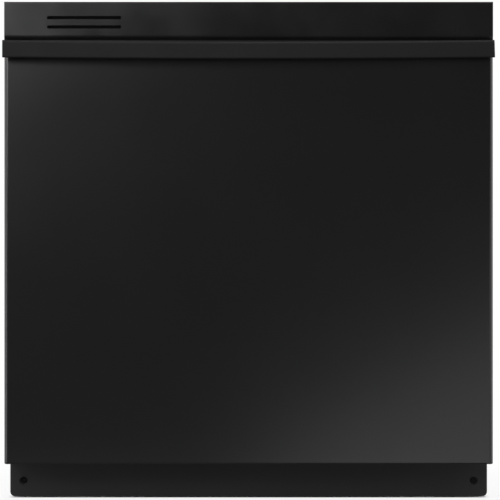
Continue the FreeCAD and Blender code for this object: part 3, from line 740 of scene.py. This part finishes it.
# ---- Door details -------------------------------------------------------------------------------
def make_kick_screws():
    low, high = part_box("kick_screws")
    radius, head, shank = 0.5 * (high[2] - low[2]), 0.0018, 0.0023
    shape = Shape()
    for x in (low[0] + radius, high[0] - radius):
        seat = (x, low[1] + head, low[2] + radius)
        shape.screw(seat, (0, -1, 0), radius, head)
        shape.turned([(shank, 0.0), (shank, high[1] - low[1] - head)], seat, (0, 1, 0), 20)
    shape.done("kick_screw_heads", BLACK_SCREW, "cabinet", ("kick_screws",))


def make_door_screws():
    low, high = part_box("door_screws")
    radius, head, shank, rows = 0.0042, 0.0016, 0.002, 4
    shape = Shape()
    for x in (low[0] + radius, high[0] - radius):
        for i in range(rows):
            seat = (x, high[1] - head, mix(low[2] + radius, high[2] - radius, i / (rows - 1)))
            shape.screw(seat, (0, 1, 0), radius, head)
            shape.turned([(shank, 0.0), (shank, high[1] - head - low[1])], seat, (0, -1, 0), 16)
    shape.done("door_screw_heads", BRIGHT_SCREW, "door", ("door_screws",))


def make_gasket():
    """A round bulb with a flatter foot of two beads behind it, all round the mouth of the tub."""
    low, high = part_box("door_seal")
    bulb, foot, corner = 0.0033, 0.0022, 0.02
    bulb_inset, foot_insets = 0.004, (0.0026, 0.0056)

    def round_mouth(inset, y):
        x0, x1 = low[0] + inset, high[0] - inset
        z0, z1 = low[2] + inset, high[2] - inset
        return bent([(x0, y, z0), (x1, y, z0), (x1, y, z1), (x0, y, z1)], corner, True, 10), True

    front = [round_mouth(bulb_inset, low[1] + bulb)]
    wires("gasket_bulb", front, bulb, RUBBER, "cabinet", ("door_seal",))
    rear = [round_mouth(inset, high[1] - foot) for inset in foot_insets]
    wires("gasket_foot", rear, foot, RUBBER, "cabinet", ())


def slab(x0, x1, y0, y1, z):
    return [(x0, y0, z), (x1, y0, z), (x1, y1, z), (x0, y1, z)]


SIGN = 0.0017  # half the size of a sign
STROKE = 0.0002  # half the width of a straight stroke
LAMP_AHEAD, SIGN_AHEAD = 0.0062, 0.0048  # lamp before the button, sign before the lamp
INK = 0.00006


def power_sign(x, y, z):
    """An open ring and a stroke up through its gap."""
    around = [2 * math.pi * k / 28 for k in range(4, 25)]
    outer = [(x + SIGN * math.sin(a), y + SIGN * math.cos(a), z) for a in around]
    inner = [(x + 0.72 * SIGN * math.sin(a), y + 0.72 * SIGN * math.cos(a), z) for a in reversed(around)]
    return [outer + inner, slab(x - STROKE, x + STROKE, y, y + SIGN, z)]


def waves_sign(x, y, z):
    swing, apart, steps = 0.0003, 0.0011, 12
    outlines = []
    for row in (-1, 0, 1):
        level = y + row * apart
        wave = [(x - SIGN + 2 * SIGN * k / steps, level + swing * math.sin(k), z) for k in range(steps + 1)]
        outlines.append(wave + [(px, py + swing, z) for px, py, _ in reversed(wave)])
    return outlines


def bars_sign(x, y, z):
    apart = 0.0012
    middles = [x + step * apart for step in (-1, 0, 1)]
    return [slab(at - STROKE, at + STROKE, y - SIGN, y + SIGN, z) for at in middles]


def start_sign(x, y, z):
    return [[(x - 0.8 * SIGN, y - SIGN, z), (x + SIGN, y, z), (x - 0.8 * SIGN, y + SIGN, z)]]


SIGNS = {
    "button_power": power_sign, "button_wash": waves_sign,
    "button_dry": bars_sign, "button_start": start_sign,
}


def make_console_marks():
    """Plain marks on top of the console: a lamp dot and a simple sign in front of each button."""
    shape = Shape()
    lamps = Shape()
    lamp_profile = [(0.0009, -0.0002), (0.0009, 0.00012), (0.0006, 0.0002)]
    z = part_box("console_strip")[1][2] + 0.00002
    for name, sign in SIGNS.items():
        low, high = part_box(name)
        x = middle(low, high)[0]
        y = low[1] - LAMP_AHEAD
        lamps.turned(lamp_profile, (x, y, z), (0, 0, 1), 20)
        for outline in sign(x, y - SIGN_AHEAD, z):
            shape.plate(outline, INK)
    shape.done("console_marks", MARKS, "door")
    lamps.done("console_lamps", LAMP, "door")


def make_lid_ribs():
    """Five ribs to push the lid by and one raised edge at its right."""
    low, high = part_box("dispenser_lid")
    front = high[1]
    sunk, rib_out, rib_half, rib_soft = 0.0002, 0.0005, 0.0008, 0.0003
    ribs, margin = 5, 0.014
    edge_out, edge_soft = 0.0009, 0.0008
    shape = Shape()
    rib_left, rib_right = 0.008, 0.02
    edge_left, edge_right, edge_short = 0.014, 0.005, 0.02
    x0, x1 = low[0] + rib_left, high[0] - rib_right
    for i in range(ribs):
        z = mix(low[2] + margin, high[2] - margin, i / (ribs - 1))
        shape.block((x0, front - sunk, z - rib_half), (x1, front + rib_out, z + rib_half), rib_soft)
    corner = (high[0] - edge_left, front - sunk, low[2] + edge_short)
    shape.block(corner, (high[0] - edge_right, front + edge_out, high[2] - edge_short), edge_soft)
    shape.done("lid_ribs", POLY, "dispenser_lid")


def make_cap_knurl():
    """A raised rim, a centre boss and a ring of small lugs on the rinse aid cap."""
    low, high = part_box("rinse_aid_cap")
    centre = middle(low, high)
    radius = 0.5 * (high[0] - low[0])
    base = low[1] + 0.0066
    lugs, lug_half, lug_in, lug_sunk, lug_out = 24, 0.0004, 0.004, 0.0002, 0.0005
    edge = [
        (radius - 0.0005, 0.0), (radius - 0.0005, 0.0009),
        (radius - 0.0022, 0.0009), (radius - 0.0026, 0.0),
    ]
    boss = [(0.0032, 0), (0.0032, 0.0008), (0.0026, 0.0011), (0, 0.0011)]
    rim = Shape()
    rim.turned(edge, (centre[0], base, centre[2]), (0, 1, 0), 60)
    rim.turned(boss, (centre[0], base, centre[2]), (0, 1, 0), 32)
    for k in range(lugs):
        a = 2 * math.pi * k / lugs
        x = centre[0] + (radius - lug_in) * math.cos(a)
        z = centre[2] + (radius - lug_in) * math.sin(a)
        corner = (x - lug_half, base - lug_sunk, z - lug_half)
        rim.block(corner, (x + lug_half, base + lug_out, z + lug_half))
    rim.done("cap_knurl", CAP_BLUE, "rinse_aid_cap")


def make_dispenser_bezel():
    low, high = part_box("dispenser_housing")
    bezel_r, inset, corner = 0.0013, 0.003, 0.008
    y = high[1] - 0.0006
    x0, x1 = low[0] + inset, high[0] - inset
    z0, z1 = low[2] + inset, high[2] - inset
    loop = bent([(x0, y, z0), (x1, y, z0), (x1, y, z1), (x0, y, z1)], corner, True)
    wires("dispenser_bezel", [(loop, True)], bezel_r, PALE_POLY, "door", ())


def make_liner_beads():
    """Pressed beads that stiffen the sheet round the dish of the inner door."""
    sunk, bead_r, apart = 0.0004, 0.0018, -0.012
    half, bottom, top = 0.238, 0.142, 0.548
    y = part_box("inner_door_liner")[1][1] - sunk
    loops = []
    for inset, corner in ((0.0, 0.026), (apart, 0.034)):
        x, z0, z1 = half - inset, bottom + inset, top - inset
        loops.append((bent([(-x, y, z0), (x, y, z0), (x, y, z1), (-x, y, z1)], corner, True, 10), True))
    wires("liner_beads", loops, bead_r, LINER, "door", ())


# ---- Tub, base and wash details -----------------------------------------------------------------
def make_tub_beads():
    """Pressed ribs inside the tub walls, inside its back and round the outside of its back."""
    low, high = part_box("tub_wrapper")
    back_low, back_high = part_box("tub_back")
    radius, wall, inset, corner = 0.0022, 0.001, 0.0014, 0.02
    front_gap, rear_gap = 0.05, 0.03
    y0, y1 = low[1] + front_gap, high[1] - rear_gap
    loops = []

    def rib(path):
        loops.append((bent(path, corner, True, 8), True))

    for x in (low[0] + wall + inset, high[0] - wall - inset):
        for z0, z1 in ((0.24, 0.295), (0.345, 0.47)):
            rib([(x, y0, z0), (x, y1, z0), (x, y1, z1), (x, y0, z1)])
    y = back_low[1] - inset
    for x0, x1 in ((-0.235, -0.045), (0.045, 0.235)):
        for z0, z1 in ((0.19, 0.35), (0.38, 0.54)):
            rib([(x0, y, z0), (x1, y, z0), (x1, y, z1), (x0, y, z1)])
    y = back_high[1]
    half, z0, z1 = 0.242, 0.154, 0.55
    rib([(-half, y, z0), (half, y, z0), (half, y, z1), (-half, y, z1)])
    wires("tub_beads", loops, radius, STEEL, "cabinet", ())


NOZZLE = [(0.0042, -0.0004), (0.0042, 0.0006), (0.0032, 0.0012), (0.0018, 0.0012), (0.0016, 0.0004)]
NOZZLE_HOLE = [(0.0017, 0.0), (0.0017, 0.0006)]
HUB_LUG = [(0.0016, -0.0004), (0.0016, 0.0006), (0.0011, 0.001), (0.0, 0.001)]


def make_arm_details(name, up):
    """Spray nozzles, lugs round the hub and two raised spines on one arm."""
    low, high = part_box(name)
    cx, cy = middle(low, high)[:2]
    half = 0.5 * (high[0] - low[0])
    face = high[2] - 0.002 if up else low[2] + 0.003  # the blade, apart from the hub's rise
    way = 1 if up else -1
    jets = Shape()
    # holes: black discs sunk in the nozzle mouths, painted shade for the dark inside each jet
    holes = Shape()
    aside = 0.0065
    reaches = (0.24, 0.38, 0.52, 0.66, 0.80, 0.92)  # as parts of the arm's half length
    for side in (-1, 1):
        for i, reach in enumerate(reaches):
            x = cx + side * reach * half
            y = cy + (aside if (i + (side > 0)) % 2 else -aside) * (1.1 - 0.5 * reach)
            jets.turned(NOZZLE, (x, y, face), (0, 0, way), 28)
            holes.turned(NOZZLE_HOLE, (x, y, face), (0, 0, way), 20)
    hub_z = high[2] if up else low[2]
    hub_r, lugs = 0.0215, 12
    for k in range(lugs):
        a = 2 * math.pi * k / lugs
        jets.turned(HUB_LUG, (cx + hub_r * math.cos(a), cy + hub_r * math.sin(a), hub_z), (0, 0, way), 14)
    jets.done(name + "_jets", POLY, name)
    holes.done(name + "_jet_hole_shade", BASE, name)
    spine = []
    spine_r, spine_aside, steps, start, span = 0.0009, 0.0115, 12, -0.86, 1.72
    for offset in (-spine_aside, spine_aside):
        path = []
        for k in range(steps + 1):
            t = start + span * k / steps
            path.append((cx + t * half, cy + offset * (1.12 - 0.55 * abs(t)), face))
        spine.append((path[:5], False))  # the middle points would cross the hub
        spine.append((path[8:], False))
    wires(name + "_spine", spine, spine_r, POLY, name, ())


FOOT_NUT = [(0.0092, 0.0062), (0.0092, 0.0108), (0.0082, 0.0114)]
FOOT_KNURL = [(0.0012, 0.0004), (0.0012, 0.0066), (0.0004, 0.0072)]


def make_foot_details():
    """A six-sided nut and a knurled rim on each foot."""
    knurls, rim_inset = 12, 0.0012
    for name in ("foot_front_left", "foot_front_right", "foot_rear_left", "foot_rear_right"):
        low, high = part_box(name)
        x, y = middle(low, high)[:2]
        radius = 0.5 * (high[0] - low[0])
        shape = Shape()
        shape.turned(FOOT_NUT, (x, y, low[2]), (0, 0, 1), 6)
        for k in range(knurls):
            a = 2 * math.pi * (k + 0.5) / knurls
            out = Vector((math.cos(a), math.sin(a), 0)) * (radius - rim_inset)
            shape.turned(FOOT_KNURL, (x + out.x, y + out.y, low[2]), (0, 0, 1), 10)
        shape.done(name + "_nut", BASE, name)


def make_inlet():
    """The hose thread and the magnet coil of the inlet valve."""
    low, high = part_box("inlet_valve")
    x, z = 0.5 * (low[0] + high[0]), 0.5 * (low[2] + high[2])
    radius, thread_r, start, end = 0.0132, 0.0009, 0.0015, 0.0165
    turns, per_turn = 6, 28
    helix = []
    for k in range(turns * per_turn + 1):
        a = 2 * math.pi * k / per_turn
        y = mix(high[1] - start, high[1] - end, k / (turns * per_turn))
        helix.append((x + radius * math.cos(a), y, z + radius * math.sin(a)))
    wires("inlet_thread", [(helix, False)], thread_r, PALE_POLY, "cabinet", ())
    coil = Shape()
    coil_half, coil_front, coil_rear = 0.017, 0.004, 0.034
    coil_sunk, coil_tall, coil_soft = 0.002, 0.016, 0.002
    tab_half, tab_front, tab_rear, tab_foot, tab_tall, tab_soft = 0.004, 0.012, 0.02, 0.015, 0.026, 0.0006
    corner = (x - coil_half, low[1] + coil_front, high[2] - coil_sunk)
    coil.block(corner, (x + coil_half, low[1] + coil_rear, high[2] + coil_tall), coil_soft)
    corner = (x - tab_half, low[1] + tab_front, high[2] + tab_foot)
    coil.block(corner, (x + tab_half, low[1] + tab_rear, high[2] + tab_tall), tab_soft)
    coil.done("inlet_coil", PUMP, "cabinet")


DRAIN_BARB = [(0.0105, 0.0), (0.0122, 0.0003), (0.0122, 0.0012), (0.0104, 0.0046)]


def make_drain_barbs():
    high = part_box("drain_pump")[1]
    outlet_inset, outlet_z = 0.02, 0.06
    barbs, long, apart, tip = 3, 0.0046, 0.0055, 0.004
    outlet_x = high[0] - outlet_inset
    barb = Shape()
    for k in range(barbs):
        y = high[1] - tip - apart * k
        barb.turned(DRAIN_BARB, (outlet_x, y - long, outlet_z), (0, 1, 0), 40)
    barb.done("drain_barbs", PUMP, "cabinet")


PUMP_FIN = [(0.0375, 0.0), (0.0392, 0.0004), (0.0392, 0.0018), (0.0375, 0.0022)]


def make_pump_fins():
    """Cooling fins round the motor and a ring of screws on the pump's head."""
    low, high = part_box("circulation_pump")
    y, z = 0.06, 0.066
    count, head_long, tail_long = 9, 0.036, 0.012
    screws, screw_ring, screw_in, screw_r, screw_tall = 6, 0.041, 0.022, 0.0028, 0.0016
    fins = Shape()
    for k in range(count):
        x = mix(low[0] + head_long, high[0] - tail_long, k / (count - 1))
        fins.turned(PUMP_FIN, (x, y, z), (1, 0, 0), 48)
    for k in range(screws):
        a = 2 * math.pi * (k + 0.5) / screws
        seat = (low[0] + screw_in, y + screw_ring * math.cos(a), z + screw_ring * math.sin(a))
        fins.screw(seat, (1, 0, 0), screw_r, screw_tall)
    fins.done("pump_fins", PUMP, "cabinet")


def make_air_break_details():
    """Moulded channels and screws on the outside of the air break chamber."""
    low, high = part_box("air_break")
    rib_r, corner, port_r, sides = 0.0014, 0.014, 0.03, 40
    side, end = 0.012, 0.014
    x = low[0]
    y0, y1, z0, z1 = low[1] + side, high[1] - side, low[2] + end, high[2] - end
    paths = [(bent([(x, y0, z0), (x, y1, z0), (x, y1, z1), (x, y0, z1)], corner, True), True)]
    maze = []
    runs, run_inset, first_run, last_run = 6, 0.016, 0.03, 0.06
    for k in range(runs):
        z = mix(z0 + first_run, z1 - last_run, k / (runs - 1))
        ends = (y0 + run_inset, y1 - run_inset) if k % 2 == 0 else (y1 - run_inset, y0 + run_inset)
        maze += [(x, ends[0], z), (x, ends[1], z)]
    paths.append((bent(maze, 0.012), False))
    port_y, port_z = 0.5 * (y0 + y1), z1 - 0.036
    port = []
    for k in range(sides):
        a = 2 * math.pi * k / sides
        port.append((x, port_y + port_r * math.cos(a), port_z + port_r * math.sin(a)))
    paths.append((port, True))
    wires("air_break_ribs", paths, rib_r, PALE_POLY, "cabinet", ())
    screws = Shape()
    screw_r, screw_tall, screw_sunk = 0.0034, 0.0014, 0.0002
    screw_side, screw_end = 0.01, 0.012
    for y in (y0 + screw_side, y1 - screw_side):
        for z in (z0 + screw_end, 0.5 * (z0 + z1), z1 - screw_end):
            screws.screw((x + screw_sunk, y, z), (-1, 0, 0), screw_r, screw_tall)
    screws.done("air_break_screws", BRIGHT_SCREW, "cabinet")


# ---- Rack details -------------------------------------------------------------------------------
def make_rack_grip():
    """A moulded grip over the rack's front wires, with nine ribs for the fingers."""
    low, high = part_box("main_rack")
    half, proud, deep, below, above, soft = 0.062, 0.0012, 0.0072, 0.02, 0.001, 0.0028
    ribs, first, pitch, rib_half, rib_proud, rib_soft = 9, -0.044, 0.011, 0.0012, 0.002, 0.0006
    rib_foot, rib_top = 0.0155, 0.0045
    grip = Shape()
    corner = (-half, low[1] - proud, high[2] - below)
    grip.block(corner, (half, low[1] + deep, high[2] + above), soft)
    for k in range(ribs):
        x = first + pitch * k
        corner = (x - rib_half, low[1] - rib_proud, high[2] - rib_foot)
        grip.block(corner, (x + rib_half, low[1], high[2] - rib_top), rib_soft)
    grip.done("rack_grip", POLY, "rack")


def make_basket_details():
    """The carrying arch of the cutlery basket and the two walls that part it."""
    low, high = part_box("cutlery_basket")
    inset, sunk = 0.004, 0.002
    rise, splay, bend, arch_r = 0.026, 0.006, 0.02, 0.0034
    x0, x1 = low[0] + inset, high[0] - inset
    y = 0.5 * (low[1] + high[1])
    top = high[2] - sunk
    crown = top + rise
    arch = bent([(x0, y, top), (x0 + splay, y, crown), (x1 - splay, y, crown), (x1, y, top)], bend)
    wires("basket_arch", [(arch, False)], arch_r, POLY, "rack", ())
    wall = Shape()
    wall_half, below, soft = 0.0009, 0.012, 0.0006
    for k in (1, 2):
        x = mix(low[0], high[0], k / 3)
        corner = (x - wall_half, low[1] + inset, low[2] + inset)
        wall.block(corner, (x + wall_half, high[1] - inset, high[2] - below), soft)
    wall.done("basket_walls", POLY, "rack")


def make_rail_caps():
    """Plastic caps on the front ends of the rails, one on each flange."""
    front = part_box("rack_rails")[0][1]
    rail_feet = (0.306, 0.513)
    rail_sides = ((-0.2618, -0.2506), (0.2506, 0.2618))
    flanges = ((-0.0008, 0.005), (0.019, 0.0248))
    ahead, over, soft = 0.003, 0.0002, 0.001
    caps = Shape()
    for z0 in rail_feet:
        for x0, x1 in rail_sides:
            for below, above in flanges:
                caps.block((x0, front - ahead, z0 + below), (x1, front + over, z0 + above), soft)
    caps.done("rail_caps", TRIM, "cabinet")


dress_nodes()
make_studio()
make_kick_screws()
make_door_screws()
make_gasket()
make_console_marks()
make_lid_ribs()
make_cap_knurl()
make_dispenser_bezel()
make_liner_beads()
make_tub_beads()
make_arm_details("lower_spray_arm", True)
make_arm_details("upper_spray_arm", False)
make_foot_details()
make_inlet()
make_drain_barbs()
make_pump_fins()
make_air_break_details()
make_rack_grip()
make_basket_details()
make_rail_caps()
make_main_rack()
make_tray()
make_tines()
make_shelf()
make_springs()
